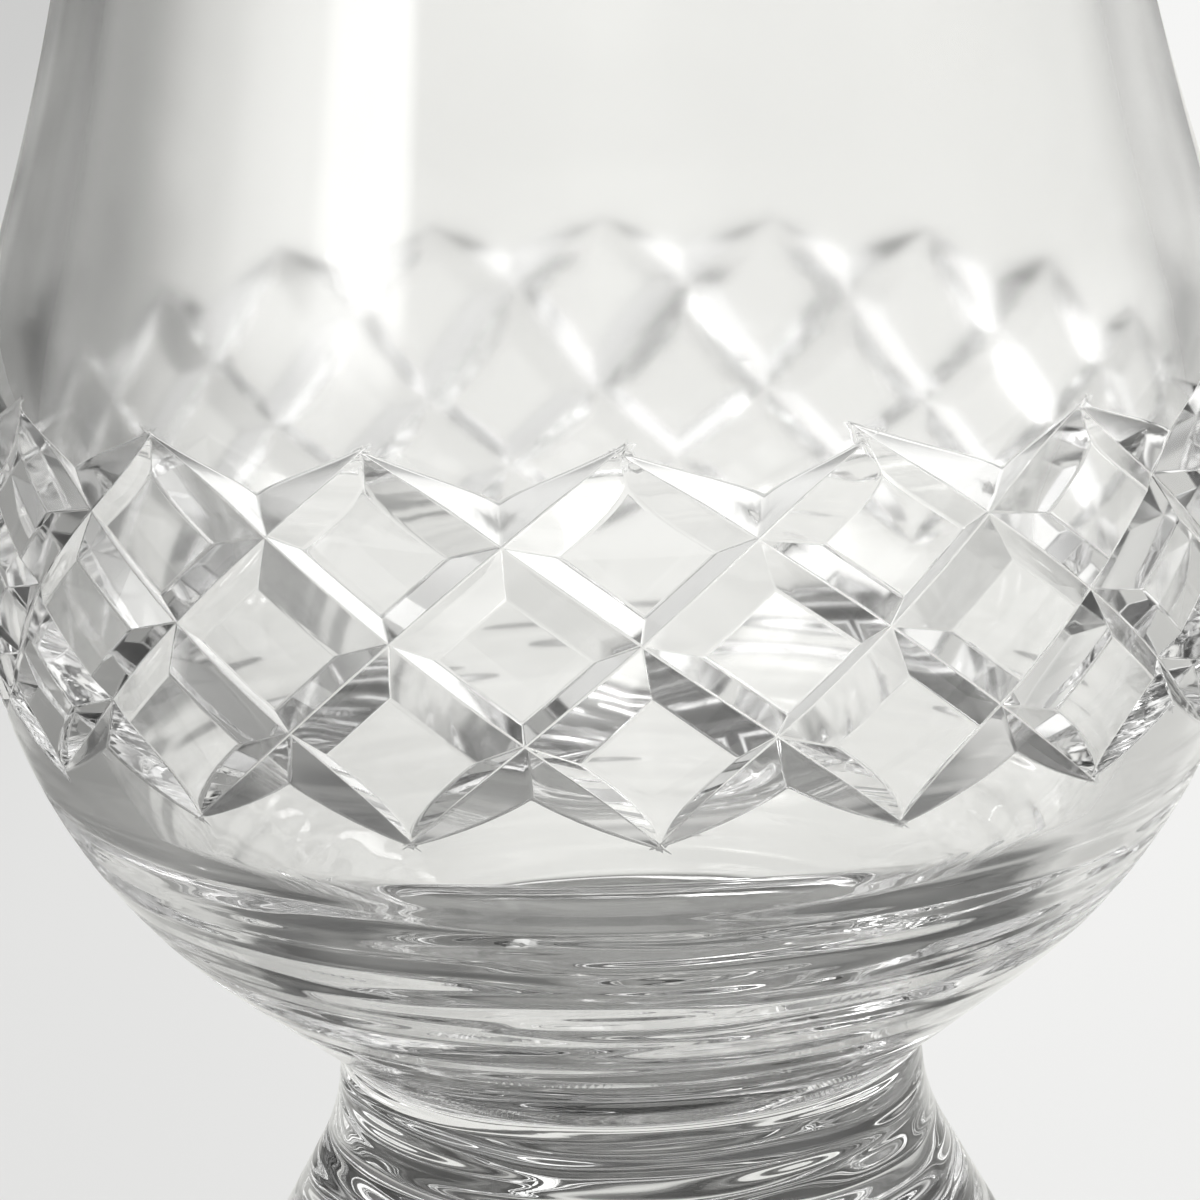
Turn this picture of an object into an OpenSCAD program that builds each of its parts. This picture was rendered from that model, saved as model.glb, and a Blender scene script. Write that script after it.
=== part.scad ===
// Whisky nosing glass in clear cut crystal, in millimetres.
// It stands on z = 0 with its axis on Z: a tulip bowl with a band of crossed V cuts round the belly,
// joined while hot at its narrow waist to a heavy solid foot.

/* [Whole glass] */
// Height from the table to the top of the rim
glass_h = 115; // [95:1:140]
// Diameter across the outside of the mouth
mouth_d = 45.2; // [38:0.2:56]
// Diameter at the widest part of the bowl
belly_d = 65.2; // [58:0.2:80]
// Height of the widest part above the table
belly_z = 53; // [46:0.5:60]
// Diameter at the waist, where bowl and foot are fused
waist_d = 30.8; // [22:0.2:38]
// Height of the waist above the table
waist_z = 24; // [18:0.5:29]
// Diameter of the foot
foot_d = 47; // [40:0.5:60]

/* [Bowl outside] */
// Radius of the shoulder curve above the belly
shoulder_r = 47; // [34:1:60]
// Slope of the straight flank between the belly and the waist, from the vertical, in degrees
flank_slope = 50; // [44:1:58]
// Radius of the hollow curve just above the waist
waist_fillet_r = 2; // [1:0.1:4]

/* [Bowl inside] */
// Thickness of the wall at the rim
rim_wall = 1.7; // [1.2:0.1:2.6]
// Thickness of the wall at the belly, before it is cut
belly_wall = 3.4; // [2.8:0.1:4.5]
// Radius of the shoulder curve on the inside
inner_shoulder_r = 44; // [32:1:58]
// Radius of the curve under the belly on the inside, as a share of the most that fits
inner_belly_share = 0.98; // [0.6:0.01:0.98]
// Thickness of solid glass between the waist and the floor of the bowl
floor_t = 2.4; // [1.6:0.2:8]

/* [Diamond cutting] */
// Number of cuts that climb to the right, and of cuts that climb to the left
cuts = 18; // [12:1:24]
// Height of the cut band from its lower points to its upper points
band_h = 17.4; // [13:0.2:21]
// Height of the middle of the band above the widest part of the bowl
band_rise = 0.3; // [0:0.1:1]
// Depth of a cut at the middle of the band
cut_depth = 1.2; // [0.6:0.05:1.6]
// Angle between the two flanks of a cut, in degrees
cut_angle = 106; // [85:1:120]
// Lean of a cut, which makes its lower flank the wider one, in degrees
cut_lean = 5; // [0:0.5:8]
// Drift of the hand cut pattern round the bowl, from the middle of the band to its edge, in degrees
cut_drift = 1.2; // [0:0.1:2.5]
// Turn of the whole pattern round the axis, in degrees
cut_turn = 1.8; // [0:0.1:20]

/* [Foot] */
// Radius of the hollow curve just under the waist
foot_fillet_r = 12; // [8:0.5:18]
// Lean of the foot's flank out from the vertical, in degrees
flank_lean = 28.8; // [22:0.2:34]
// Radius where the flank turns down into the edge of the foot
shoulder_round = 3; // [1:0.1:4]
// Radius round the bottom edge
edge_round = 1; // [0.4:0.1:1.6]
// Width of the flat ring that the glass stands on
rest_w = 3; // [1.5:0.1:5]
// Depth of the hollow under the foot, at its middle
hollow_h = 1.8; // [0.8:0.1:3]

/* [Hidden] */
$fn = 160;
// How far a cutting shape runs past the glass that it cuts
over = 1;

mouth_r = mouth_d / 2;
belly_r = belly_d / 2;
waist_r = waist_d / 2;
foot_r = foot_d / 2;

// The rim is a half round as thick as the wall, so the wall itself stops below the top.
rim_z = glass_h - rim_wall / 2;
inner_mouth_r = mouth_r - rim_wall;
inner_top_r = belly_r - belly_wall;
floor_z = waist_z + floor_t;

// Sum of the radii of a shoulder curve and the neck curve that meets it, where the first stands upright at
// the belly and the second stands upright at the mouth.
function pair_r(belly, mouth) = (pow(belly - mouth, 2) + pow(rim_z - belly_z, 2)) / (2 * (belly - mouth));

// Angle above level at which a shoulder curve hands over to its neck curve.
function turn(belly, mouth) = atan2(rim_z - belly_z, pair_r(belly, mouth) - (belly - mouth));

// The curve under the belly has the one radius that runs into a flank of this slope, which then runs into
// the fillet at the waist.
under_belly_r = ((belly_z - waist_z) * sin(flank_slope)
    - (belly_r - waist_r - waist_fillet_r) * cos(flank_slope) - waist_fillet_r) / (1 - cos(flank_slope));
under_centre = [belly_r - under_belly_r, belly_z];
fillet_centre = [waist_r + waist_fillet_r, waist_z];
flank_normal = [cos(flank_slope), -sin(flank_slope)];
flank_top = under_centre + under_belly_r * flank_normal;
flank_foot = fillet_centre - waist_fillet_r * flank_normal;

// The floor of the bowl is a shallow dish centred on the axis, which the inner belly curve runs into.
dish_drop = belly_z - floor_z;
inner_belly_r = inner_belly_share * min(dish_drop, under_belly_r);
inner_centre = [inner_top_r - inner_belly_r, belly_z];
dish_r = (pow(inner_centre[0], 2) + pow(dish_drop, 2) - pow(inner_belly_r, 2))
    / (2 * (dish_drop - inner_belly_r));
dish_centre = [0, floor_z + dish_r];
dish_way = (inner_centre - dish_centre) / norm(inner_centre - dish_centre);
dish_edge = dish_centre + dish_r * dish_way;

// The flank of the foot leaves its fillet at flank_lean and ends where the edge of the foot is reached.
foot_fillet_centre = [waist_r + foot_fillet_r, waist_z];
flank_out = [cos(flank_lean), sin(flank_lean)];
flank_start = foot_fillet_centre - foot_fillet_r * flank_out;
flank_down = [sin(flank_lean), -cos(flank_lean)];
round_centre = flank_start
    + flank_down * (foot_r - shoulder_round - flank_start[0] + shoulder_round * flank_out[0]) / flank_down[0]
    - shoulder_round * flank_out;
rest_r = foot_r - edge_round - rest_w;
hollow_r = (pow(rest_r, 2) + pow(hollow_h, 2)) / (2 * hollow_h);

// Where the points of the cut band lie: its edge radius is the mean of the upper and the lower edge.
band_z = belly_z + band_rise;
half_band = band_h / 2;
upper_edge_r = belly_r - shoulder_r + sqrt(pow(shoulder_r, 2) - pow(half_band + band_rise, 2));
lower_edge_r = belly_r - under_belly_r + sqrt(pow(under_belly_r, 2) - pow(half_band - band_rise, 2));
band_edge_r = (upper_edge_r + lower_edge_r) / 2;
pitch = 360 / cuts;

// Outline that stands upright at the belly and at the mouth: a round shoulder and a hollow neck.
module tulip(belly, shoulder, mouth) {
    neck = pair_r(belly, mouth) - shoulder;
    angle = turn(belly, mouth);
    meet = [belly - shoulder + shoulder * cos(angle), belly_z + shoulder * sin(angle)];
    intersection() {
        translate([belly - shoulder, belly_z]) circle(r = shoulder);
        translate([0, belly_z]) square([belly + over, meet[1] - belly_z]);
    }
    difference() {
        polygon([[0, meet[1]], meet, [mouth + neck, rim_z], [0, rim_z]]);
        translate([mouth + neck, rim_z]) circle(r = neck);
    }
}

// Half outline of the bowl's outside, from the waist to the rim.
module bowl_outside() {
    tulip(belly_r, shoulder_r, mouth_r);
    intersection() {
        translate(under_centre) circle(r = under_belly_r);
        translate([0, flank_top[1]]) square([belly_r + over, belly_z - flank_top[1]]);
    }
    difference() {
        polygon([[0, waist_z], fillet_centre, flank_foot, flank_top, [0, flank_top[1]]]);
        translate(fillet_centre) circle(r = waist_fillet_r);
    }
}

// Half outline of the hollow of the bowl.
module bowl_inside() {
    tulip(inner_top_r, inner_shoulder_r, inner_mouth_r);
    intersection() {
        translate(inner_centre) circle(r = inner_belly_r);
        translate([inner_centre[0], belly_z - inner_belly_r]) square([inner_belly_r, inner_belly_r]);
    }
    intersection() {
        translate(dish_centre) circle(r = dish_r);
        translate([0, floor_z]) square([dish_edge[0], dish_drop]);
    }
}

// The bowl before it is cut.
module bowl_blank() {
    rotate_extrude() {
        difference() {
            bowl_outside();
            bowl_inside();
            translate([0, rim_z]) square([inner_mouth_r, over]);
        }
        translate([mouth_r - rim_wall / 2, rim_z]) circle(d = rim_wall);
    }
}

// One V cut through the middle of the band, climbing to the right for way = 1 and to the left for -1.
// The wheel runs on a wider curve than the bowl, so that the cut thins out to a point at both ends.
module v_cut(way) {
    half_turn = pitch - way * cut_drift;
    run = band_edge_r * sin(half_turn);
    reach = norm([run, half_band]);
    lift = belly_r - band_edge_r * cos(half_turn) - cut_depth;
    wheel_r = (pow(reach, 2) + pow(lift, 2)) / (2 * lift);
    sweep = 2 * asin((reach + over) / wheel_r);
    tall = cut_depth + over;
    upper_w = tall * tan(cut_angle / 2 - cut_lean);
    lower_w = tall * tan(cut_angle / 2 + cut_lean);
    translate([belly_r, 0, band_z])
        rotate([way * atan2(half_band, run), 0, 0])
            translate([-cut_depth - wheel_r, 0, 0])
                rotate([0, 0, -sweep / 2])
                    rotate_extrude(angle = sweep)
                        polygon([[wheel_r, 0], [wheel_r + tall, upper_w], [wheel_r + tall, -lower_w]]);
}

// Bowl with its thick floor and the cut band.
module bowl() {
    color([0.88, 0.91, 0.93, 0.55])
        difference() {
            bowl_blank();
            for (i = [0 : cuts - 1], way = [-1, 1])
                rotate([0, 0, i * pitch + cut_turn - 90]) v_cut(way);
        }
}

// Solid foot, from the waist down to the ring that it stands on.
module foot() {
    color([0.8, 0.85, 0.88, 0.55])
        rotate_extrude()
            difference() {
                union() {
                    polygon([
                        [0, 0], [foot_r - edge_round, 0], [foot_r - edge_round, edge_round],
                        [foot_r, edge_round], [foot_r, round_centre[1]], round_centre,
                        round_centre + shoulder_round * flank_out, flank_start,
                        foot_fillet_centre, [0, waist_z]
                    ]);
                    translate([foot_r - edge_round, edge_round]) circle(r = edge_round);
                    translate(round_centre) circle(r = shoulder_round);
                }
                translate(foot_fillet_centre) circle(r = foot_fillet_r);
                translate([0, hollow_h - hollow_r]) circle(r = hollow_r);
            }
}

bowl();
foot();
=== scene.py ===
"""Looks of the whisky nosing glass: a cut crystal tulip bowl fused to a solid crystal foot."""

import logging
import math
import random
from dataclasses import dataclass, field
from enum import Enum, IntEnum
from typing import Callable, Sequence

import bpy
import numpy as np
from mathutils import Matrix, Vector


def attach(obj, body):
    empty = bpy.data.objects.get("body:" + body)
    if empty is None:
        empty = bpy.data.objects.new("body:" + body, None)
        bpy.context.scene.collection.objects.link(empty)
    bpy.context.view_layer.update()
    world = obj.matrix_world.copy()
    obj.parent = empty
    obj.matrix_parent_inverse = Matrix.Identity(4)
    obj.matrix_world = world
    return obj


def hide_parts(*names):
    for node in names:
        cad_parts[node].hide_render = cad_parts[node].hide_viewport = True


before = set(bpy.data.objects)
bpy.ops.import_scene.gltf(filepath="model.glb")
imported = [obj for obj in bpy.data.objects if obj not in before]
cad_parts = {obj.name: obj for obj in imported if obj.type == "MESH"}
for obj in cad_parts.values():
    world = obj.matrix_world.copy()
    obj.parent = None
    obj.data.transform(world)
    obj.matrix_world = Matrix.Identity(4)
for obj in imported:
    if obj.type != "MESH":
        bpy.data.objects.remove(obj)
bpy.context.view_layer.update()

LOG = logging.getLogger("nosing_glass")
MM = 0.001
FULL_TURN = 360.0
# Angle of the glass's front, which faces the lens.
FRONT = -90.0
# The spun shells meet the band's two plain edges point by point: 18 cuts, with two sides of 9 points each.
SPIN_STEPS = 324
MERGE_GAP = 2e-6
SAME_PLACE = 1e-3
# How much blue each grey of the studio keeps.
WARMTH = 0.99
NORMAL_LAYER = "cut_normal"
# Rows of the cut band: those of the plain edges, and the first and the last crossing of a cut.
EDGE_BELOW, EDGE_ABOVE = -1, 5
FIRST_CROSSING, LAST_CROSSING = 1, 3


class Way(Enum):
    """Which way a cut climbs, seen from outside the glass."""

    RIGHT = 1
    LEFT = -1


class Gather(Enum):
    """The two gathers of glass, by the CAD node that each stands for."""

    BOWL = "bowl"
    FOOT = "foot"


class Skin(IntEnum):
    """Place of each finish on a piece; the foot has only the first two."""

    PLAIN = 0
    SEAM = 1
    INSIDE = 2


# ---------------------------------------------------------------- finishes


class Sheet:
    """The node tree of a material or a world, to draw on."""

    def __init__(self, owner: bpy.types.Material | bpy.types.World, is_cleared: bool = True) -> None:
        """Opens the tree.

        Args:
            owner: Material or world that the tree belongs to.
            is_cleared: Whether the nodes that come with it are taken out.
        """
        owner.use_nodes = True
        self.nodes, self.links = owner.node_tree.nodes, owner.node_tree.links
        if is_cleared:
            self.nodes.clear()

    def add(
        self, kind: str, inputs: dict[str | int, object] | None = None, **settings: object
    ) -> bpy.types.Node:
        """Adds a node.

        Args:
            kind: Type of the node, without the words that all shader nodes start with.
            inputs: For each input, by name or place, the socket to link to it or the value to set.
            settings: Other settings of the node.

        Returns:
            The new node.
        """
        node = self.nodes.new("ShaderNode" + kind)
        for name, value in settings.items():
            setattr(node, name, value)
        for name, value in (inputs or {}).items():
            if isinstance(value, bpy.types.NodeSocket):
                self.links.new(value, node.inputs[name])
            else:
                node.inputs[name].default_value = value
        return node

    def worked(
        self, operation: str, one: bpy.types.NodeSocket, other: bpy.types.NodeSocket | float
    ) -> bpy.types.NodeSocket:
        """Adds one sum.

        Args:
            operation: Kind of sum.
            one: First value.
            other: Second value, a socket or a number.

        Returns:
            The socket of the result.
        """
        return self.add("Math", {0: one, 1: other}, operation=operation).outputs["Value"]

    def graded(
        self, value: bpy.types.NodeSocket, stops: Sequence[tuple[float, float]]
    ) -> bpy.types.NodeSocket:
        """Turns a value into a faintly warm grey.

        Args:
            value: The value.
            stops: Values in rising order and the grey at each.

        Returns:
            The socket of the grey.
        """
        low, high = stops[0][0], stops[-1][0]
        span = self.add("MapRange", {"Value": value, "From Min": low, "From Max": high})
        ramp = self.add("ValToRGB", {"Fac": span.outputs["Result"]})
        ramp.color_ramp.interpolation = "EASE"
        elements = ramp.color_ramp.elements
        while len(elements) < len(stops):
            elements.new(0.5)
        for element, (at, shade) in zip(elements, stops):
            element.position = (at - low) / (high - low)
            element.color = (shade, shade, shade * WARMTH, 1.0)
        return ramp.outputs["Color"]

    def multiplied(self, one: bpy.types.NodeSocket, other: bpy.types.NodeSocket) -> bpy.types.NodeSocket:
        """Multiplies two colours.

        Args:
            one: First colour.
            other: Second colour.

        Returns:
            The socket of the product.
        """
        both = self.add("Mix", {"Factor": 1.0, "A": one, "B": other}, data_type="RGBA", blend_type="MULTIPLY")
        return both.outputs["Result"]


@dataclass(frozen=True)
class CrystalFinish:
    """Clear crystal, wavy below one height and softened above another, in millimetres."""

    name: str
    ior: float = 1.53
    tint: tuple[float, float, float] = (0.99, 0.99, 0.99)
    wave_height: float = 0.0
    waves_round: float = 24.0
    waves_up: float = 260.0
    wave_detail: float = 2.0
    wave_top: float = 42.5
    wave_full: float = 36.0
    roughness: float = 0.0
    rough_low: float = 0.0
    rough_from: float = 42.0
    rough_to: float = 70.0

    def build(self) -> bpy.types.Material:
        """Makes the material.

        Returns:
            The new material.
        """
        material = bpy.data.materials.new(self.name)
        sheet = Sheet(material, is_cleared=False)
        shader = sheet.nodes["Principled BSDF"]
        shader.inputs["Base Color"].default_value = (*self.tint, 1.0)
        shader.inputs["Roughness"].default_value = self.roughness
        shader.inputs["IOR"].default_value = self.ior
        shader.inputs["Transmission Weight"].default_value = 1.0
        if self.wave_height == 0:
            return material
        place = sheet.add("TexCoord").outputs["Object"]
        z = sheet.add("SeparateXYZ", {"Vector": place}).outputs["Z"]
        scale = (self.waves_round, self.waves_round, self.waves_up)
        squash = sheet.add("Mapping", {"Vector": place, "Scale": scale})
        grain = {"Vector": squash.outputs["Vector"], "Scale": 1.0, "Detail": self.wave_detail}
        waves = sheet.add("TexNoise", grain)
        low = sheet.add(
            "MapRange", {"Value": z, "From Min": self.wave_top * MM, "From Max": self.wave_full * MM},
            interpolation_type="SMOOTHSTEP",
        )
        height = sheet.worked("MULTIPLY", waves.outputs["Fac"], low.outputs["Result"])
        bump = sheet.add("Bump", {"Height": height, "Distance": self.wave_height * MM})
        sheet.links.new(bump.outputs["Normal"], shader.inputs["Normal"])
        if self.roughness > 0:
            matt = sheet.add("MapRange", {
                "Value": z, "From Min": self.rough_from * MM, "From Max": self.rough_to * MM,
                "To Min": self.rough_low, "To Max": self.roughness,
            })
            sheet.links.new(matt.outputs["Result"], shader.inputs["Roughness"])
        return material


@dataclass(frozen=True)
class FusedSeamFinish:
    """The disc where the two gathers are one glass: light passes it unbent."""

    name: str = "fused_seam"

    def build(self) -> bpy.types.Material:
        """Makes the material.

        Returns:
            The new material.
        """
        material = bpy.data.materials.new(self.name)
        sheet = Sheet(material)
        clear = sheet.add("BsdfTransparent")
        sheet.add("OutputMaterial", {"Surface": clear.outputs["BSDF"]})
        return material


@dataclass(frozen=True)
class PaleSweepFinish:
    """Matt white paper, which the glass sees with painted shade: darker sides and front, painted light to the
    right and a painted contact shadow under itself, and which the lens sees darker towards the left, also
    painted shade; in metres.

    Each fan of painted shade and light spreads from a line across the floor: its first number is how far that
    line lies in front of the glass, and its second the least distance behind the line that counts.
    """

    name: str = "sweep_with_painted_shade"
    albedo: float = 0.82
    shown_share: float = 0.9
    # Painted shade that the lens sees: the paper darker towards the left.
    plain: tuple[tuple[float, float], ...] = (
        (-0.80, 0.40), (-0.20, 0.60), (-0.09, 0.66), (-0.045, 0.78), (0.03, 0.90), (0.12, 0.94), (0.8, 0.90),
    )
    # Painted shade that the glass sees: the paper darker to the left.
    left: tuple[tuple[float, float], ...] = (
        (-1.0, 0.30), (-0.50, 0.34), (-0.35, 0.26), (-0.27, 0.32), (-0.20, 0.80), (-0.13, 0.93), (0.0, 1.0),
        (1.0, 1.0),
    )
    left_fan: tuple[float, float] = (0.19, 0.12)
    # Painted light and then painted shade that the glass sees to the right.
    right: tuple[tuple[float, float], ...] = (
        (-1.0, 1.12), (0.0, 1.12), (0.25, 1.15), (0.45, 1.20), (0.62, 1.0), (0.80, 0.82), (1.3, 0.78),
    )
    right_fan: tuple[float, float] = (0.04, 0.015)
    # Painted shade that the glass sees, by distance in front of and behind the glass, with a dark strip just
    # before it.
    near: tuple[tuple[float, float], ...] = (
        (-1.5, 0.70), (-0.25, 0.80), (-0.06, 1.0), (-0.035, 0.63), (0.0, 0.99), (0.03, 0.80), (1.5, 0.84),
    )
    # Painted contact shadow that the glass sees: grey by distance from under the glass.
    painted_contact_shadow: tuple[tuple[float, float], ...] = (
        (0.0, 0.24), (0.007, 0.15), (0.014, 0.22), (0.022, 0.05), (0.029, 0.10), (0.035, 0.58), (0.042, 0.92),
        (0.052, 0.90), (0.065, 0.96),
    )
    painted_shadow_y: float = -0.002
    painted_shadow_stretch: float = 1.7

    def build(self) -> bpy.types.Material:
        """Makes the material.

        Returns:
            The new material.
        """
        material = bpy.data.materials.new(self.name)
        sheet = Sheet(material)
        place = sheet.add("TexCoord").outputs["Object"]
        x, y, _ = sheet.add("SeparateXYZ", {"Vector": place}).outputs
        flat = sheet.add("Mapping", {
            "Vector": place, "Location": (0.0, -self.painted_shadow_y, 0.0),
            "Scale": (1 / self.painted_shadow_stretch, 1.0, 0.0),
        })
        reach = sheet.add("VectorMath", {0: flat.outputs["Vector"]}, operation="LENGTH").outputs["Value"]
        # Painted contact shadow, and painted shade in front of and behind the glass, for the glass to see.
        painted_shade_for_glass = sheet.multiplied(sheet.graded(y, self.near), sheet.graded(reach, self.painted_contact_shadow))
        # Painted shade to the left, and painted light then painted shade to the right, in fans.
        for stops, (focus, least) in ((self.left, self.left_fan), (self.right, self.right_fan)):
            away = sheet.worked("MAXIMUM", sheet.worked("ADD", y, focus), least)
            painted_shade_for_glass = sheet.multiplied(painted_shade_for_glass, sheet.graded(sheet.worked("DIVIDE", x, away), stops))
        path = sheet.add("LightPath").outputs
        # The lens sees the paper with painted shade, darker towards the left; reflections and clear glass see
        # the painted shade and light above.
        seen = {"Factor": path["Is Camera Ray"], "A": painted_shade_for_glass, "B": sheet.graded(x, self.plain)}
        glow = sheet.add("Emission", {"Color": sheet.add("Mix", seen, data_type="RGBA").outputs["Result"]})
        paper = sheet.add("BsdfDiffuse", {"Color": (self.albedo, self.albedo, self.albedo, 1.0)})
        # The glow, with its painted shade and light, is for the lens, reflections and clear glass, and not
        # for the light that falls on things.
        through = sheet.worked("MAXIMUM", path["Is Glossy Ray"], path["Is Transmission Ray"])
        direct = sheet.worked("MAXIMUM", path["Is Camera Ray"], through)
        share = sheet.worked("MULTIPLY", direct, self.shown_share)
        mix = sheet.add("MixShader", {"Fac": share, 1: paper.outputs["BSDF"], 2: glow.outputs["Emission"]})
        sheet.add("OutputMaterial", {"Surface": mix.outputs["Shader"]})
        return material


# ---------------------------------------------------------------- mesh helpers


def start_clean() -> None:
    """Leaves edit mode and deselects everything."""
    if bpy.context.object and bpy.context.object.mode != "OBJECT":
        bpy.ops.object.mode_set(mode="OBJECT")
    bpy.ops.object.select_all(action="DESELECT")


def pick(piece: bpy.types.Object) -> None:
    """Makes one piece the only one selected, and active."""
    start_clean()
    piece.select_set(True)
    bpy.context.view_layer.objects.active = piece


def spun(name: str, outline: Sequence[tuple[float, float]], start: float) -> bpy.types.Object:
    """Draws an outline point by point and spins it round the axis.

    Args:
        name: Name of the piece.
        outline: Radius and height of each point, in millimetres.
        start: Angle at which the outline stands, in degrees.

    Returns:
        The spun shell.
    """
    start_clean()
    way = Vector((math.cos(math.radians(start)), math.sin(math.radians(start)), 0))
    points = [way * (r * MM) + Vector((0, 0, z * MM)) for r, z in outline]
    bpy.ops.mesh.primitive_plane_add(size=MM, location=(0, 0, 0))
    piece = bpy.context.object
    piece.name = piece.data.name = name
    bpy.ops.object.mode_set(mode="EDIT")
    bpy.ops.mesh.merge(type="CENTER")
    bpy.ops.transform.translate(value=points[0])
    for here, there in zip(points, points[1:]):
        bpy.ops.mesh.extrude_region_move(TRANSFORM_OT_translate={"value": there - here})
    bpy.ops.mesh.select_all(action="SELECT")
    bpy.ops.mesh.spin(steps=SPIN_STEPS, angle=math.tau, center=(0, 0, 0), axis=(0, 0, 1))
    bpy.ops.mesh.select_all(action="SELECT")
    bpy.ops.mesh.remove_doubles(threshold=MERGE_GAP)
    bpy.ops.object.mode_set(mode="OBJECT")
    return piece


def arc_points(
    centre: tuple[float, float], radius: float, first: float, last: float, count: int
) -> list[tuple[float, float]]:
    """Points along an arc.

    Args:
        centre: Radius and height of the arc's centre.
        radius: Radius of the arc.
        first: Angle of the first point above level, in degrees.
        last: Angle of the last point, in degrees.
        count: Number of points.

    Returns:
        The points, in order.
    """
    angles = np.radians(np.linspace(first, last, count))
    return [(centre[0] + radius * math.cos(a), centre[1] + radius * math.sin(a)) for a in angles]


def join_and_close(pieces: Sequence[bpy.types.Object]) -> bpy.types.Object:
    """Joins shells whose edges meet, merges their doubles and turns the faces outwards.

    Args:
        pieces: The shells; the first one stays.

    Returns:
        The closed piece.
    """
    start_clean()
    for piece in pieces:
        piece.select_set(True)
    bpy.context.view_layer.objects.active = pieces[0]
    if len(pieces) > 1:
        bpy.ops.object.join()
    bpy.ops.object.mode_set(mode="EDIT")
    bpy.ops.mesh.select_all(action="SELECT")
    bpy.ops.mesh.remove_doubles(threshold=MERGE_GAP)
    bpy.ops.mesh.dissolve_degenerate(threshold=MERGE_GAP)
    bpy.ops.mesh.select_all(action="SELECT")
    bpy.ops.mesh.normals_make_consistent(inside=False)
    bpy.ops.object.mode_set(mode="OBJECT")
    return pieces[0]


def soft_max(a: np.ndarray, b: np.ndarray | float, blend: float) -> np.ndarray:
    """The larger of two values, rounded where they are nearly equal.

    Args:
        a: First values.
        b: Second values.
        blend: Difference under which the two blend.

    Returns:
        The rounded larger values.
    """
    near = np.maximum(blend - np.abs(a - b), 0) / blend
    return np.maximum(a, b) + near * near * blend / 4


# ---------------------------------------------------------------- bowl


@dataclass
class TulipCurve:
    """A round shoulder and a hollow neck, upright at the belly and at the mouth, in millimetres."""

    belly_r: float
    belly_z: float
    shoulder_r: float
    mouth_r: float
    rim_z: float

    def __post_init__(self) -> None:
        """Works out the neck curve and where it meets the shoulder."""
        narrow, rise = self.belly_r - self.mouth_r, self.rim_z - self.belly_z
        pair = (narrow**2 + rise**2) / (2 * narrow)
        self.neck_r = pair - self.shoulder_r
        self.meet_z = self.belly_z + self.shoulder_r * math.sin(math.atan2(rise, pair - narrow))

    def radius(self, z: np.ndarray) -> np.ndarray:
        """Radius of the curve at each height.

        Args:
            z: Heights at or above the belly.

        Returns:
            The radii.
        """
        low = np.clip(z - self.belly_z, 0, self.shoulder_r * 0.98)
        high = np.clip(self.rim_z - z, 0, self.neck_r * 0.98)
        shoulder = self.belly_r - self.shoulder_r + np.sqrt(self.shoulder_r**2 - low**2)
        neck = self.mouth_r + self.neck_r - np.sqrt(self.neck_r**2 - high**2)
        return np.where(z < self.meet_z, shoulder, neck)


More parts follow.
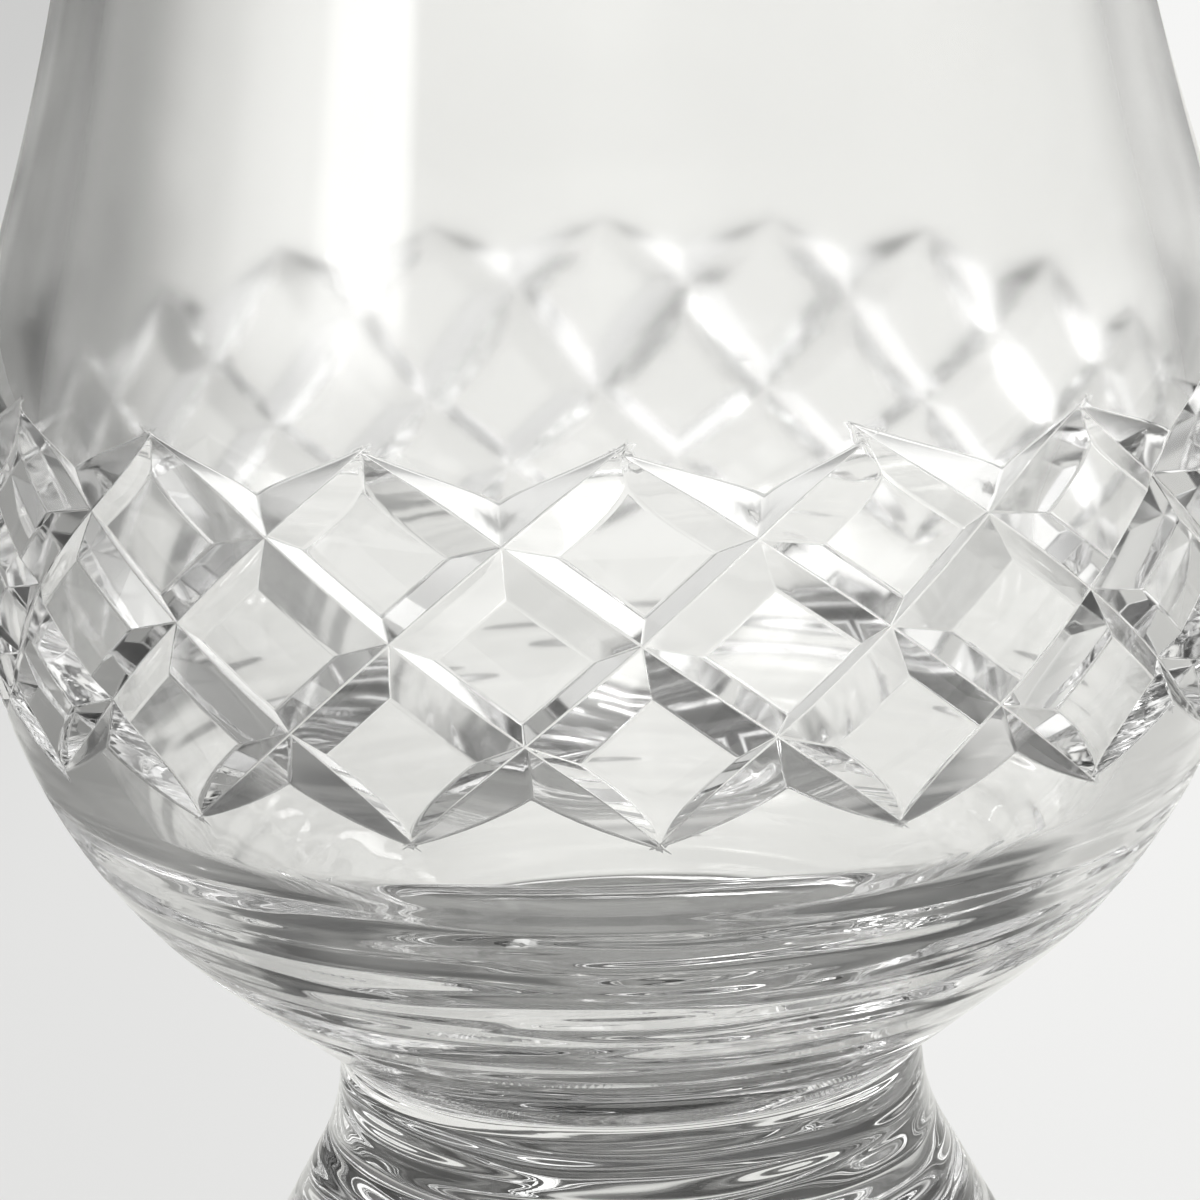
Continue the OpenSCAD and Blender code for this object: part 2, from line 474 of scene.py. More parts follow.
@dataclass
class BowlShape:
    """Sizes of the blown bowl, in millimetres."""

    glass_h: float = 115.0
    mouth_r: float = 22.6
    belly_r: float = 32.6
    belly_z: float = 53.0
    waist_r: float = 15.4
    waist_z: float = 24.0
    shoulder_r: float = 47.0
    flank_slope: float = 50.0
    waist_fillet_r: float = 2.0
    rim_wall: float = 1.7
    belly_wall: float = 3.4
    inner_shoulder_r: float = 44.0
    inner_belly_r: float = 26.068
    floor_t: float = 2.4

    def __post_init__(self) -> None:
        """Works out the curves that follow from the sizes."""
        self.rim_z = self.glass_h - self.rim_wall / 2
        self.outside = TulipCurve(self.belly_r, self.belly_z, self.shoulder_r, self.mouth_r, self.rim_z)
        self.inside = TulipCurve(
            self.belly_r - self.belly_wall, self.belly_z, self.inner_shoulder_r,
            self.mouth_r - self.rim_wall, self.rim_z,
        )
        lean = math.radians(self.flank_slope)
        drop, run = self.belly_z - self.waist_z, self.belly_r - self.waist_r - self.waist_fillet_r
        self.under_r = (drop * math.sin(lean) - run * math.cos(lean) - self.waist_fillet_r) / (
            1 - math.cos(lean)
        )
        self.flank_top_z = self.belly_z - self.under_r * math.sin(lean)
        self.flank_top_r = self.belly_r - self.under_r * (1 - math.cos(lean))
        self.flank_foot_z = self.waist_z + self.waist_fillet_r * math.sin(lean)

    def outer_radius(self, z: np.ndarray) -> np.ndarray:
        """Radius of the uncut outside at each height.

        Args:
            z: Heights.

        Returns:
            The radii.
        """
        fall = np.clip(self.belly_z - z, 0, self.under_r * 0.98)
        under = self.belly_r - self.under_r + np.sqrt(self.under_r**2 - fall**2)
        flank = self.flank_top_r - (self.flank_top_z - z) / math.tan(math.radians(90 - self.flank_slope))
        rise = np.clip(z - self.waist_z, 0, self.waist_fillet_r)
        fillet = self.waist_r + self.waist_fillet_r - np.sqrt(self.waist_fillet_r**2 - rise**2)
        low = np.where(z > self.flank_foot_z, flank, fillet)
        low = np.where(z > self.flank_top_z, under, low)
        return np.where(z > self.belly_z, self.outside.radius(z), low)

    def above(self, from_z: float) -> list[tuple[float, float]]:
        """Outline from the cut band up, over the rim and down the inside to the middle of the floor.

        Args:
            from_z: Height at which the outline starts.

        Returns:
            Radius and height of each point.
        """
        up = np.linspace(from_z, self.rim_z, 34)
        outline = list(zip(self.outer_radius(up), up))
        lip = (self.mouth_r - self.rim_wall / 2, self.rim_z)
        outline += arc_points(lip, self.rim_wall / 2, 0, 180, 13)[1:]
        down = np.linspace(self.rim_z, self.belly_z, 40)[1:]
        outline += list(zip(self.inside.radius(down), down))
        hub = (self.belly_r - self.belly_wall - self.inner_belly_r, self.belly_z)
        floor_z = self.waist_z + self.floor_t
        dish_drop = self.belly_z - floor_z
        dish_r = (hub[0] ** 2 + dish_drop**2 - self.inner_belly_r**2) / (2 * (dish_drop - self.inner_belly_r))
        dish_centre = floor_z + dish_r
        reach = math.degrees(math.atan2(hub[1] - dish_centre, hub[0]))
        outline += arc_points(hub, self.inner_belly_r, 0, reach, 26)[1:]
        outline += arc_points((0, dish_centre), dish_r, reach, -90, 12)[1:]
        outline[-1] = (0.0, floor_z)
        return outline

    def below(self, from_z: float) -> list[tuple[float, float]]:
        """Outline from the cut band down to the waist and in to the axis.

        Args:
            from_z: Height at which the outline starts.

        Returns:
            Radius and height of each point.
        """
        down = np.concatenate([
            np.linspace(from_z, self.flank_top_z, 14),
            np.linspace(self.flank_top_z, self.flank_foot_z, 5)[1:],
        ])
        outline = list(zip(self.outer_radius(down), down))
        hub = (self.waist_r + self.waist_fillet_r, self.waist_z)
        outline += arc_points(hub, self.waist_fillet_r, 180 - self.flank_slope, 180, 12)[1:]
        outline += [(self.waist_r * share, self.waist_z) for share in (0.97, 0.5)]
        outline.append((0.0, self.waist_z))
        return outline


@dataclass
class DiamondCutting:
    """The band of crossed V cuts round the belly, in millimetres and degrees.

    A point of the band is placed by a pair of lattice numbers, one along each family of cuts. Their
    difference is its row: 0 at the lower points, 4 at the upper points, and 1 to 3 at the crossings.
    Rows and the drift of the pattern round the bowl are polynomials of the height above the belly.

    A cut's flank that looks up is the wide one, and its widths are for cuts that climb to the right and to
    the left. Past its last crossing a cut thins out and ends a little beyond the band's points. The mesh
    runs along each cut in strips, each a share of the flank's width and millimetres added to it.
    """

    shape: BowlShape
    cuts: int = 18
    depth: float = 1.06
    row_fit: tuple[float, ...] = (1.505e-4, 7.977e-4, 0.21896, 1.92244)
    turn_fit: tuple[float, ...] = (-0.004665, -0.13789, 1.84497)
    wide_r: float = 1.83
    narrow_r: float = 1.02
    wide_l: float = 1.50
    narrow_l: float = 1.25
    top_bulge: float = 0.55
    depth_spread: float = 0.03
    fade: float = 2.6
    long_end: float = 0.05
    short_end: float = 0.02
    end_spread: tuple[float, float] = (-0.015, 0.025)
    edge_round: float = 0.035
    least_width: float = 0.05
    least_strip: float = 0.6
    most_run_out: float = 1.6
    settling: int = 16
    steady_until: float = 0.1
    set_ends: tuple[tuple[Way, int, float], ...] = ((Way.LEFT, 3, 0.15), (Way.RIGHT, 17, 0.02))
    strips: tuple[tuple[float, float], ...] = (
        (0.0, 0.0), (0.05, 0.0), (0.5, 0.0), (1.0, -0.11), (1.0, 0.0), (1.0, 0.12),
    )
    flat_rings: tuple[float, ...] = (0.35, 0.7)
    along: tuple[float, ...] = (0.0, 0.015, 0.25, 0.5, 0.75, 0.985)
    along_end: tuple[float, ...] = (0.0, 0.03, 0.1, 0.2, 0.4, 0.6, 0.8, 0.9, 0.97)
    seed: int = 11

    def __post_init__(self) -> None:
        """Works out the rows' heights and draws the small differences of hand cutting."""
        heights = np.linspace(-20, 20, 801)
        self.row_table = (np.polyval(self.row_fit, heights), heights)
        self.pitch = FULL_TURN / self.cuts
        draw = random.Random(self.seed)
        spread = (-self.depth_spread, self.depth_spread)
        self.depths = {way: [1 + draw.uniform(*spread) for _ in range(self.cuts)] for way in Way}
        self.reach_up, self.reach_down = (
            {
                way: np.array([
                    (self.long_end if way is long_way else self.short_end) + draw.uniform(*self.end_spread)
                    for _ in range(self.cuts)
                ])
                for way in Way
            }
            for long_way in (Way.RIGHT, Way.LEFT)
        )
        for way, number, reach in self.set_ends:
            self.reach_up[way][number] = reach
        self.rows = np.linspace(-2, 6, 161)
        h = self.height(self.rows)
        arc = math.radians(self.pitch) * self.shape.outer_radius(h + self.shape.belly_z)
        self.full_share = {
            (way, looks_up): self.flank_width(way, looks_up, self.rows) / (arc * self.steepness(way, h))
            for way in Way for looks_up in (True, False)
        }

    def height(self, row: np.ndarray) -> np.ndarray:
        """Height above the belly's widest line for each row number."""
        return np.interp(row, *self.row_table)

    def place(self, a: np.ndarray, b: np.ndarray) -> tuple[np.ndarray, np.ndarray]:
        """Turns lattice numbers into an angle and a height.

        Args:
            a: Number along the cuts that climb to the right.
            b: Number along the cuts that climb to the left.

        Returns:
            Angle round the axis in degrees, and height above the belly's widest line.
        """
        h = self.height(b - a)
        return FRONT + np.polyval(self.turn_fit, h) + self.pitch * (a + b) / 2, h

    def steepness(self, way: Way, h: np.ndarray) -> np.ndarray:
        """Sine of a cut's slope on the unrolled bowl at each height."""
        step = 0.05
        turn = (np.polyval(self.turn_fit, h + step) - np.polyval(self.turn_fit, h - step)) / (2 * step)
        rows = (np.polyval(self.row_fit, h + step) - np.polyval(self.row_fit, h - step)) / (2 * step)
        radius = self.shape.outer_radius(h + self.shape.belly_z)
        run = radius * np.radians(turn + way.value * self.pitch / 2 * rows)
        return 1 / np.sqrt(1 + run**2)

    def floor_depth(self, way: Way, number: np.ndarray, row: np.ndarray) -> np.ndarray:
        """Depth of a cut's bottom line, which thins out past the first and the last crossing.

        Args:
            way: Family of the cut.
            number: Number of the cut in its family.
            row: Row number along the cut.

        Returns:
            Depth under the uncut surface, below zero past the cut's end.
        """
        index = number.astype(int) % self.cuts
        full = self.depth * np.array(self.depths[way])[index]
        run_out = []
        for past, reach in ((row - LAST_CROSSING, self.reach_up), (FIRST_CROSSING - row, self.reach_down)):
            whole = 1 + reach[way][index]
            run_out.append((np.clip(past, 0, None) / whole) ** self.fade)
        return full * (1 - np.minimum(np.maximum(*run_out), self.most_run_out))

    def flank_width(self, way: Way, looks_up: bool, row: np.ndarray | float) -> np.ndarray | float:
        """Width of one flank of a cut at full depth.

        Args:
            way: Family of the cut.
            looks_up: Whether the flank is the one that looks up.
            row: Row number. The flank that looks down bulges where the cut runs out at the top.

        Returns:
            The width.
        """
        if looks_up:
            return self.wide_r if way is Way.RIGHT else self.wide_l
        narrow = self.narrow_r if way is Way.RIGHT else self.narrow_l
        return narrow * (1 + self.top_bulge * np.sin(np.pi * np.clip(row - LAST_CROSSING, 0, 1)) ** 2)

    def cut_depth(self, angle: np.ndarray, h: np.ndarray) -> np.ndarray:
        """Depth of the cut surface under the uncut one.

        Args:
            angle: Angles round the axis, in degrees.
            h: Heights above the belly's widest line.

        Returns:
            The depths.
        """
        row = np.polyval(self.row_fit, h)
        arc = np.radians(self.pitch) * self.shape.outer_radius(h + self.shape.belly_z)
        total = np.zeros_like(h)
        for way in Way:
            number = (angle - FRONT - np.polyval(self.turn_fit, h)) / self.pitch - way.value * row / 2
            nearest = np.round(number)
            across = (number - nearest) * arc * self.steepness(way, h) * way.value
            bottom = self.floor_depth(way, nearest, row)
            looks_up = bottom - across * self.depth / self.flank_width(way, True, row)
            looks_down = bottom + across * self.depth / self.flank_width(way, False, row)
            total = soft_max(total, -soft_max(-looks_up, -looks_down, self.edge_round), self.edge_round)
        return total

    def surface(self, angle: np.ndarray, h: np.ndarray) -> np.ndarray:
        """Points of the cut surface, in millimetres.

        Args:
            angle: Angles round the axis, in degrees.
            h: Heights above the belly's widest line.

        Returns:
            One row of x, y and z for each point.
        """
        z = h + self.shape.belly_z
        step = 0.02
        radius = self.shape.outer_radius(z)
        slope = (self.shape.outer_radius(z + step) - self.shape.outer_radius(z - step)) / (2 * step)
        size = np.sqrt(1 + slope**2)
        depth = self.cut_depth(angle, h)
        r = radius - depth / size
        turn = np.radians(angle)
        return np.stack([r * np.cos(turn), r * np.sin(turn), z + depth * slope / size], axis=-1)

    def normals(self, angle: np.ndarray, h: np.ndarray) -> np.ndarray:
        """Outward normals of the cut surface.

        Args:
            angle: Angles round the axis, in degrees.
            h: Heights above the belly's widest line.

        Returns:
            One unit vector for each point.
        """
        step = 0.012
        turn = math.degrees(step / self.shape.belly_r)
        across = self.surface(angle + turn, h) - self.surface(angle - turn, h)
        up = self.surface(angle, h + step) - self.surface(angle, h - step)
        found = np.cross(across, up)
        return found / np.linalg.norm(found, axis=1)[:, None]

    def flank_share(
        self, way: Way, number: int, row: float, looks_up: bool, strip: tuple[float, float]
    ) -> float:
        """Distance of a strip's edge from the bottom of a cut, as a share of the lattice step.

        Args:
            way: Family of the cut.
            number: Number of the cut in its family.
            row: Row at which the cut's width is taken.
            looks_up: Whether the flank is the one that looks up.
            strip: Share of the flank's width, and what is added to it in millimetres.

        Returns:
            The distance.
        """
        index = number % self.cuts
        past_top = max(row - LAST_CROSSING, 0) / (1 + self.reach_up[way][index])
        past_bottom = max(FIRST_CROSSING - row, 0) / (1 + self.reach_down[way][index])
        bottom = self.depths[way][index] * (1 - max(past_top, past_bottom) ** self.fade)
        width = self.flank_width(way, looks_up, row)
        flank = width * max(bottom, self.least_width)
        reach = max(flank * strip[0] + strip[1], flank * self.least_strip * strip[0])
        return reach / width * float(np.interp(row, self.rows, self.full_share[way, looks_up]))

    def stops(self, one: float, other: float) -> tuple[float, ...]:
        """Places of the points along a side between two rows, closer where the cuts run out."""
        runs_out = max(one, other) > LAST_CROSSING + 0.5 or min(one, other) < FIRST_CROSSING - 0.5
        return self.along_end if runs_out else self.along

    def diamond(self, i: int, row: int) -> list[list[tuple[float, float]]]:
        """Rings of lattice points of one diamond, from the bottoms of its cuts in to its flat.

        Args:
            i: Number of the diamond round the bowl.
            row: Row of the diamond's middle.

        Returns:
            Rings of the same number of points, each going round the diamond.
        """
        j = i + row
        corners = ((0, 0), (0, 1), (1, 1), (1, 0))
        rings = []
        for strip in self.strips:
            ring = []
            for side in range(4):
                here, there = corners[side], corners[(side + 1) % 4]
                start, end = self.settled(i, j, here, here, strip), self.settled(i, j, there, there, strip)
                for along in self.stops(row + here[1] - here[0], row + there[1] - there[0]):
                    point = tuple(a + (b - a) * along for a, b in zip(start, end))
                    u, v = self.settled(i, j, here, point, strip, (side in (0, 2), side in (1, 3)))
                    ring.append((i + u, j + v))
            rings.append(ring)
        edge = rings[-1]
        for share in self.flat_rings:
            rings.append([
                (a + (i + 0.5 - a) * share, b + (j + 0.5 - b) * share) for a, b in edge
            ])
        return rings

    def settled(
        self, i: int, j: int, side: tuple[int, int], point: tuple[float, float], strip: tuple[float, float],
        free: tuple[bool, bool] = (True, True),
    ) -> tuple[float, float]:
        """Moves a point off the bottom of its cuts to the edge of a strip, at its own row.

        Args:
            i: Number of the diamond along the cuts that climb to the right.
            j: Number of the diamond along the cuts that climb to the left.
            side: Sides of the diamond, 0 or 1 on each number, whose cuts are meant.
            point: The two lattice numbers inside the diamond.
            strip: The strip, as in flank_share.
            free: Whether each number moves.

        Returns:
            The two lattice numbers inside the diamond.
        """
        u, v = point
        for _ in range(self.settling):
            row = j + v - i - u
            if free[0]:
                u = abs(side[0] - self.flank_share(Way.RIGHT, i + side[0], row, side[0] == 0, strip))
            if free[1]:
                v = abs(side[1] - self.flank_share(Way.LEFT, j + side[1], row, side[1] == 1, strip))
        return u, v

    def border(self, i: int, row: int) -> list[list[tuple[float, float]]]:
        """Lines of lattice points of the uncut glass between two points of the band's edge.

        Args:
            i: Number of the piece round the bowl.
            row: Row of the plain edge that the piece ends at.

        Returns:
            Lines of the same number of points, from the bottoms of the cuts to the plain edge.
        """
        is_top = row == EDGE_ABOVE
        j = i + row
        tip = (1, 0) if is_top else (0, 1)
        lines = []
        for strip in self.strips:
            line = []
            corner = self.settled(i, j, tip, tip, strip)
            for is_first in (True, False):
                end = (0, 0) if is_first else (1, 1)
                free = (is_first != is_top, is_first == is_top)
                for along in self.along_end:
                    near = along if is_first else 1 - along
                    point = tuple(a + (b - a) * near for a, b in zip(end, corner))
                    off = self.settled(i, j, tip, point, strip, free)
                    steady = min(1.0, near / self.steady_until)
                    u, v = (
                        e + (o - e) * steady if f else p for e, o, p, f in zip(end, off, point, free)
                    )
                    line.append((i + u, j + v))
            line.append((i + 1, j + 1))
            lines.append(line)
        count = len(lines[0]) - 1
        plain = [(i + k / count, j + k / count) for k in range(count + 1)]
        half = [((a + c) / 2, (b + d) / 2) for (a, b), (c, d) in zip(lines[-1], plain)]
        return lines + [half, plain]

    def build(self) -> bpy.types.Object:
        """Makes the cut band as an open shell between its two plain edges.

        Returns:
            The shell, with the true normal of the cut surface stored at every point.
        """
        points: list[tuple[float, float]] = []
        faces: list[tuple[int, ...]] = []
        for i in range(self.cuts):
            for row in range(EDGE_BELOW + 1, EDGE_ABOVE):
                rings = self.diamond(i, row)
                size = len(rings[0])
                base = len(points)
                for ring in rings:
                    points += ring
                points.append((i + 0.5, i + row + 0.5))
                for k in range(len(rings) - 1):
                    for s in range(size):
                        t = (s + 1) % size
                        faces.append((base + k * size + s, base + k * size + t,
                                      base + (k + 1) * size + t, base + (k + 1) * size + s))
                last = base + (len(rings) - 1) * size
                for s in range(size):
                    faces.append((last + s, last + (s + 1) % size, len(points) - 1))
            for row in (EDGE_BELOW, EDGE_ABOVE):
                lines = self.border(i, row)
                size = len(lines[0])
                base = len(points)
                for line in lines:
                    points += line
                for k in range(len(lines) - 1):
                    for s in range(size - 1):
                        faces.append((base + k * size + s, base + k * size + s + 1,
                                      base + (k + 1) * size + s + 1, base + (k + 1) * size + s))
        lattice = np.array(points)
        angle, h = self.place(lattice[:, 0], lattice[:, 1])
        mesh = bpy.data.meshes.new("cut_band")
        mesh.from_pydata((self.surface(angle, h) * MM).tolist(), [], faces)
        layer = mesh.attributes.new(NORMAL_LAYER, "FLOAT_VECTOR", "POINT")
        layer.data.foreach_set("vector", self.normals(angle, h).astype(np.float32).ravel())
        piece = bpy.data.objects.new("cut_band", mesh)
        bpy.context.scene.collection.objects.link(piece)
        return piece


@dataclass
class Bowl:
    """The blown bowl with its cut band and thick bottom."""

    shape: BowlShape = field(default_factory=BowlShape)

    def is_inside(self, middle: Vector) -> bool:
        """Says whether a face lies on the inside of the wall."""
        radius, z = math.hypot(middle.x, middle.y) / MM, middle.z / MM
        wall = float(self.shape.outer_radius(np.array(z))) - radius
        return z > self.shape.waist_z + 1 and wall > self.shape.rim_wall * 0.9

    def build(
        self, plain: bpy.types.Material, seam: bpy.types.Material, inside: bpy.types.Material
    ) -> bpy.types.Object:
        """Makes the bowl as one closed piece.

        Args:
            plain: Finish of the outside, cuts and all.
            seam: Finish of the disc that is fused to the foot.
            inside: Finish of the blown inside.

        Returns:
            The bowl.
        """
        cutting = DiamondCutting(self.shape)
        shells = [cutting.build()]
        for row, outline, name in (
            (EDGE_ABOVE, self.shape.above, "chimney"), (EDGE_BELOW, self.shape.below, "bottom"),
        ):
            angle, h = cutting.place(np.array([0.0]), np.array([float(row)]))
            shells.append(spun(name, outline(float(h[0]) + self.shape.belly_z), float(angle[0])))
        bowl = join_and_close(shells)
        bowl.name = bowl.data.name = "crystal_bowl"
        for finish in (plain, seam, inside):
            bowl.data.materials.append(finish)
        set_finish_where(bowl.data, Skin.INSIDE, self.is_inside)
        set_finish_where(bowl.data, Skin.SEAM, lambda p: abs(p.z / MM - self.shape.waist_z) < SAME_PLACE)
        set_normals(bowl.data, self.shape.waist_r, self.shape.waist_z)
        return bowl


def set_finish_where(mesh: bpy.types.Mesh, index: int, test: Callable[[Vector], bool]) -> None:
    """Gives a finish to the faces whose middle passes a test.

    Args:
        mesh: The mesh.
        index: Index of the finish in the mesh.
        test: Says of a face's middle whether it is one of them.
    """
    for polygon in mesh.polygons:
        if test(polygon.center):
            polygon.material_index = index


def set_normals(mesh: bpy.types.Mesh, waist_r: float, waist_z: float) -> None:
    """Shades the mesh smooth, with the true normals of the cut surface and level ones round the waist.

    Args:
        mesh: The closed mesh.
        waist_r: Radius of the waist, in millimetres.
        waist_z: Height of the waist, in millimetres.
    """
    mesh.shade_smooth()
    count = len(mesh.vertices)
    normals = np.array([v.normal for v in mesh.vertices], np.float64)
    place = np.zeros(count * 3)
    mesh.vertices.foreach_get("co", place)
    place = place.reshape(-1, 3) / MM
    layer = mesh.attributes.get(NORMAL_LAYER)
    if layer:
        stored = np.zeros(count * 3, np.float32)
        layer.data.foreach_get("vector", stored)
        stored = stored.reshape(-1, 3).astype(np.float64)
        known = np.linalg.norm(stored, axis=1) > 0.5
        normals[known] = stored[known]
    radius = np.hypot(place[:, 0], place[:, 1])
    waist = (np.abs(place[:, 2] - waist_z) < SAME_PLACE) & (np.abs(radius - waist_r) < SAME_PLACE)
    normals[waist] = place[waist] * (1, 1, 0) / waist_r
    mesh.normals_split_custom_set_from_vertices(normals.tolist())
    if layer:
        mesh.attributes.remove(mesh.attributes[NORMAL_LAYER])


# ---------------------------------------------------------------- foot


@dataclass
class Foot:
    """The solid foot, in millimetres and degrees."""

    waist_r: float = 15.4
    waist_z: float = 24.0
    foot_r: float = 23.5
    fillet_r: float = 12.0
    flank_lean: float = 28.8
    shoulder_round: float = 3.0
    edge_round: float = 1.0
    rest_w: float = 3.0
    hollow_h: float = 1.8

    def outline(self) -> list[tuple[float, float]]:
        """Outline of the foot from the axis at the waist, down its outside and back in underneath.

        Returns:
            Radius and height of each point.
        """
        lean = math.radians(self.flank_lean)
        fillet = (self.waist_r + self.fillet_r, self.waist_z)
        start = (fillet[0] - self.fillet_r * math.cos(lean), fillet[1] - self.fillet_r * math.sin(lean))
        turn_r = self.shoulder_round * (1 - math.cos(lean))
        run = (self.foot_r - turn_r - start[0]) / math.sin(lean)
        hub = (
            start[0] + run * math.sin(lean) - self.shoulder_round * math.cos(lean),
            start[1] - run * math.cos(lean) - self.shoulder_round * math.sin(lean),
        )
        outline = [(0.0, self.waist_z)] + [(self.waist_r * share, self.waist_z) for share in (0.5, 0.97, 1.0)]
        outline += arc_points(fillet, self.fillet_r, 180, 180 + self.flank_lean, 16)[1:]
        turn_in = arc_points(hub, self.shoulder_round, self.flank_lean, 0, 9)
        last = outline[-1]
        outline += [tuple(np.array(last) + (np.array(turn_in[0]) - last) * s) for s in (0.33, 0.67)]
        outline += turn_in
        outline += arc_points((self.foot_r - self.edge_round, self.edge_round), self.edge_round, 0, -90, 9)
        rest_r = self.foot_r - self.edge_round - self.rest_w
        outline += [(rest_r + self.rest_w * s, 0.0) for s in (0.9, 0.5, 0.1, 0.0)]
        hollow_r = (rest_r**2 + self.hollow_h**2) / (2 * self.hollow_h)
        first = math.degrees(math.atan2(hollow_r - self.hollow_h, rest_r))
        outline += arc_points((0, self.hollow_h - hollow_r), hollow_r, first, 90, 14)[1:]
        outline[-1] = (0.0, self.hollow_h)
        return outline

    def build(self, plain: bpy.types.Material, seam: bpy.types.Material) -> bpy.types.Object:
        """Makes the foot as one closed piece.

        Args:
            plain: Finish of the glass.
            seam: Finish of the disc that is fused to the bowl.

        Returns:
            The foot.
        """
        foot = join_and_close([spun("crystal_foot", self.outline(), 0.0)])
        mesh = foot.data
        for finish in (plain, seam):
            mesh.materials.append(finish)
        set_finish_where(mesh, Skin.SEAM, lambda p: abs(p.z / MM - self.waist_z) < SAME_PLACE)
        set_normals(mesh, self.waist_r, self.waist_z)
        return foot


# ---------------------------------------------------------------- studio


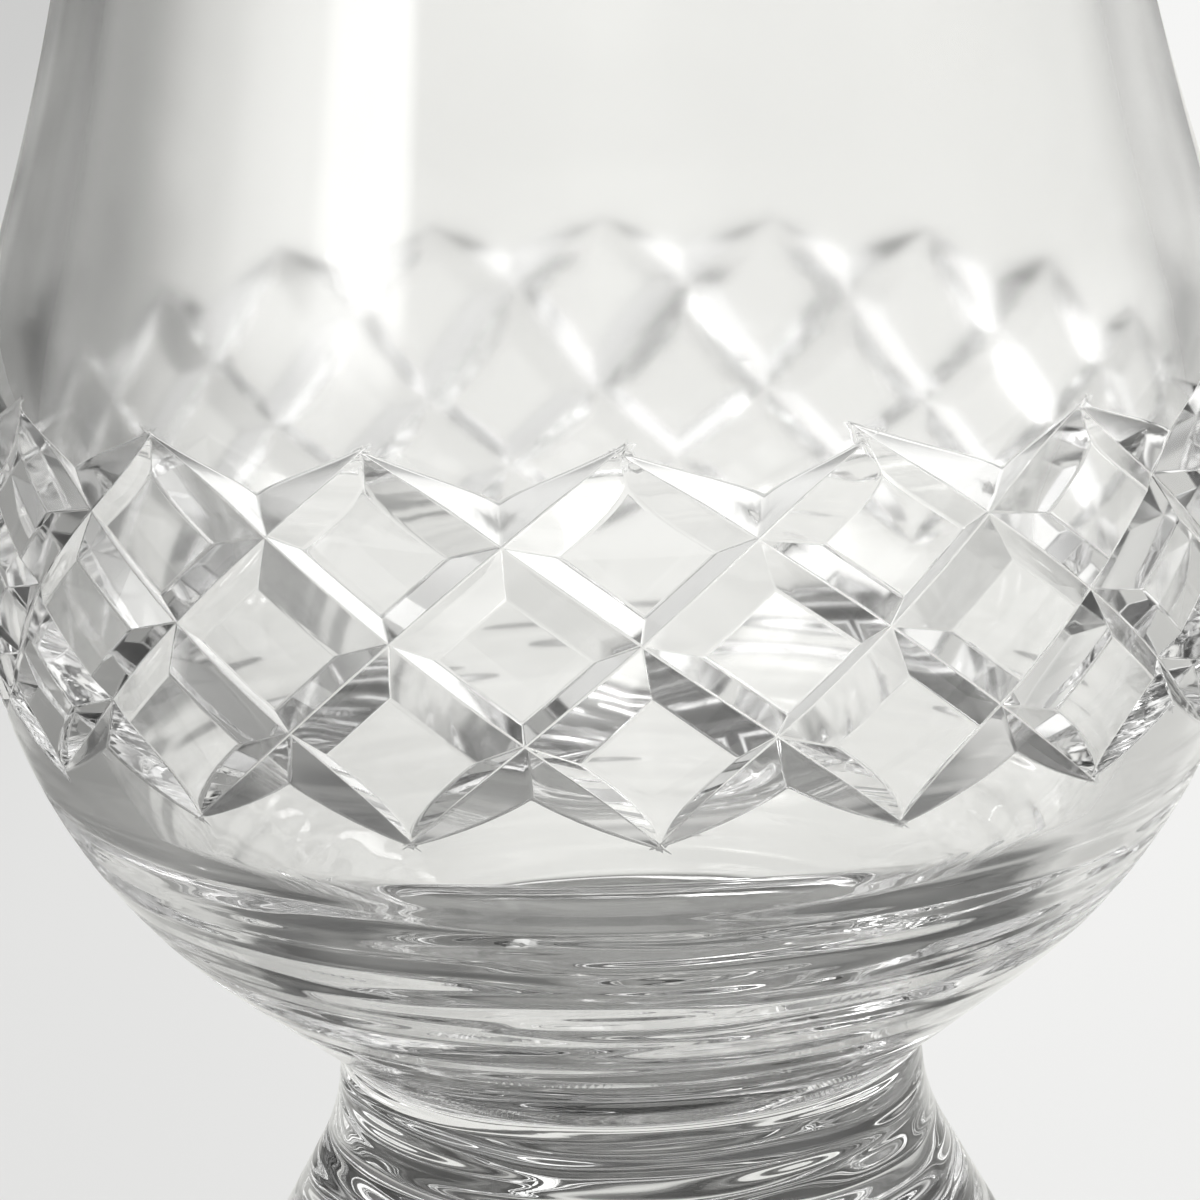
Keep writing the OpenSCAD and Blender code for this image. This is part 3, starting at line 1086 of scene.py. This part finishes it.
@dataclass
class Studio:
    """Pale sweep, soft lamp, surroundings and camera, in millimetres and degrees."""

    camera_y: float = -173.42
    camera_z: float = 89.67
    pitch: float = 13.57
    yaw: float = -0.30
    roll: float = -1.78
    focal_share: float = 3462 / 1200
    sensor: float = 36.0
    floor_size: float = 3000.0
    box_angle: float = -48.0
    box_distance: float = 600.0
    box_size: tuple[float, float] = (150.0, 260.0)
    box_height: float = 460.0
    box_power: float = 0.3
    glow: float = 5.0
    glow_round: tuple[tuple[float, float], ...] = (
        (-82.0, 0.0), (-72.0, 0.30), (-60.0, 0.40), (-54.0, 1.0), (-41.0, 1.0), (-36.5, 0.0),
    )
    glow_up: tuple[tuple[float, float], ...] = ((0.22, 0.0), (0.37, 1.0), (0.75, 1.0), (0.90, 0.0))
    behind: tuple[tuple[float, float], ...] = (
        (-1.0, 0.55), (-0.94, 0.34), (-0.80, 0.43), (-0.71, 0.21), (-0.60, 0.18), (-0.50, 0.55),
        (-0.40, 0.62), (-0.26, 0.75), (0.0, 0.99), (0.26, 1.14), (0.50, 1.05), (0.71, 0.98), (0.94, 1.04),
        (1.0, 1.08),
    )
    hand_over: float = 0.25
    in_front: tuple[tuple[float, float], ...] = (
        (-1.0, 0.60), (-0.93, 1.12), (-0.80, 1.18), (0.0, 1.29), (0.9, 1.30), (1.0, 1.06),
    )
    upwards: tuple[tuple[float, float], ...] = (
        (0.0, 0.34), (0.05, 0.51), (0.11, 1.12), (0.20, 1.13), (0.30, 1.02), (0.39, 0.46), (0.49, 0.13),
        (0.58, 0.0), (1.0, 0.05),
    )

    def camera(self) -> None:
        """Adds the camera at the photograph's place and angle."""
        pitch, yaw, roll = (math.radians(a) for a in (self.pitch, self.yaw, self.roll))
        ahead = Vector((math.sin(yaw) * math.cos(pitch), math.cos(yaw) * math.cos(pitch), -math.sin(pitch)))
        side = ahead.cross(Vector((0, 0, 1))).normalized()
        up = side.cross(ahead)
        right = side * math.cos(roll) + up * math.sin(roll)
        top = up * math.cos(roll) - side * math.sin(roll)
        data = bpy.data.cameras.new("camera")
        data.sensor_width = self.sensor
        data.lens = self.focal_share * self.sensor
        data.clip_start = 0.01
        lens = bpy.data.objects.new("camera", data)
        bpy.context.scene.collection.objects.link(lens)
        turn = Matrix((right, top, -ahead)).transposed().to_4x4()
        lens.matrix_world = Matrix.Translation(Vector((0, self.camera_y, self.camera_z)) * MM) @ turn
        bpy.context.scene.camera = lens

    def floor(self, finish: bpy.types.Material) -> None:
        """Adds the pale sweep that the glass stands on.

        Args:
            finish: Finish of the sweep.
        """
        start_clean()
        bpy.ops.mesh.primitive_plane_add(size=self.floor_size * MM, location=(0, 0, 0))
        floor = bpy.context.object
        floor.name = floor.data.name = "pale_floor"
        floor.data.materials.append(finish)

    def lamp(self) -> None:
        """Adds the soft box in front, to the left of the lens."""
        data = bpy.data.lights.new("soft_box", "AREA")
        data.shape = "RECTANGLE"
        data.size, data.size_y = (s * MM for s in self.box_size)
        data.energy = self.box_power
        box = bpy.data.objects.new("soft_box", data)
        bpy.context.scene.collection.objects.link(box)
        turn = math.radians(self.box_angle)
        place = Vector((math.sin(turn), -math.cos(turn), 0)) * self.box_distance
        place.z = self.box_height
        box.location = place * MM
        aim = Vector((0, 0, 60)) - place
        box.rotation_euler = aim.to_track_quat("-Z", "Y").to_euler()

    def surroundings(self) -> None:
        """Sets the world: bright behind the glass, darker at the sides and behind the lens."""
        world = bpy.data.worlds.new("studio")
        bpy.context.scene.world = world
        sheet = Sheet(world)
        place = sheet.add("TexCoord").outputs["Generated"]
        x, y, z = sheet.add("SeparateXYZ", {"Vector": place}).outputs
        ahead = sheet.add("MapRange", {"Value": y, "From Min": -self.hand_over, "From Max": self.hand_over})
        room = {
            "Factor": ahead.outputs["Result"], "A": sheet.graded(x, self.in_front),
            "B": sheet.multiplied(sheet.graded(x, self.behind), sheet.graded(z, self.upwards)),
        }
        round_glass = sheet.worked("ARCTAN2", x, sheet.worked("MULTIPLY", y, -1.0))
        round_glass = sheet.worked("MULTIPLY", round_glass, math.degrees(1))
        glow = sheet.multiplied(sheet.graded(round_glass, self.glow_round), sheet.graded(z, self.glow_up))
        bright = sheet.add("VectorMath", {0: glow, "Scale": self.glow}, operation="SCALE")
        both = {
            "Factor": 1.0, "A": sheet.add("Mix", room, data_type="RGBA").outputs["Result"],
            "B": bright.outputs["Vector"],
        }
        lit = sheet.add("Mix", both, data_type="RGBA", blend_type="ADD", clamp_result=False)
        sky = sheet.add("Background", {"Color": lit.outputs["Result"]})
        sheet.add("OutputWorld", {"Surface": sky.outputs["Background"]})

    def quality(self) -> None:
        """Sets the view transform and how often light may cross glass."""
        scene = bpy.context.scene
        scene.view_settings.view_transform = "Standard"
        scene.cycles.max_bounces = 24
        scene.cycles.transmission_bounces = 24
        scene.cycles.glossy_bounces = 16
        scene.cycles.transparent_max_bounces = 24


def main() -> None:
    """Builds the glass, its finishes and the studio."""
    logging.basicConfig(level=logging.INFO, format="%(message)s")
    plain = CrystalFinish("fire_polished_crystal", wave_height=3.0).build()
    foot_glass = CrystalFinish("pressed_crystal", wave_height=3.4, waves_up=210.0).build()
    seam = FusedSeamFinish().build()
    inside = CrystalFinish(
        "blown_inside", wave_height=1.6, waves_up=230.0, wave_top=38.0, wave_full=29.0, roughness=0.125,
        rough_low=0.02,
    ).build()
    bowl = Bowl().build(plain, seam, inside)
    foot = Foot().build(foot_glass, seam)
    for piece, gather, slot in ((bowl, Gather.BOWL, "bowl_crystal"), (foot, Gather.FOOT, "foot_crystal")):
        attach(piece, "root")
        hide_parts(gather.value)
        LOG.info("%s: %d faces, stands for %s", piece.name, len(piece.data.polygons), gather.value)
    studio = Studio()
    studio.floor(PaleSweepFinish().build())
    studio.lamp()
    studio.surroundings()
    studio.camera()
    studio.quality()
    LOG.info("studio ready")


if __name__ == "__main__":
    main()
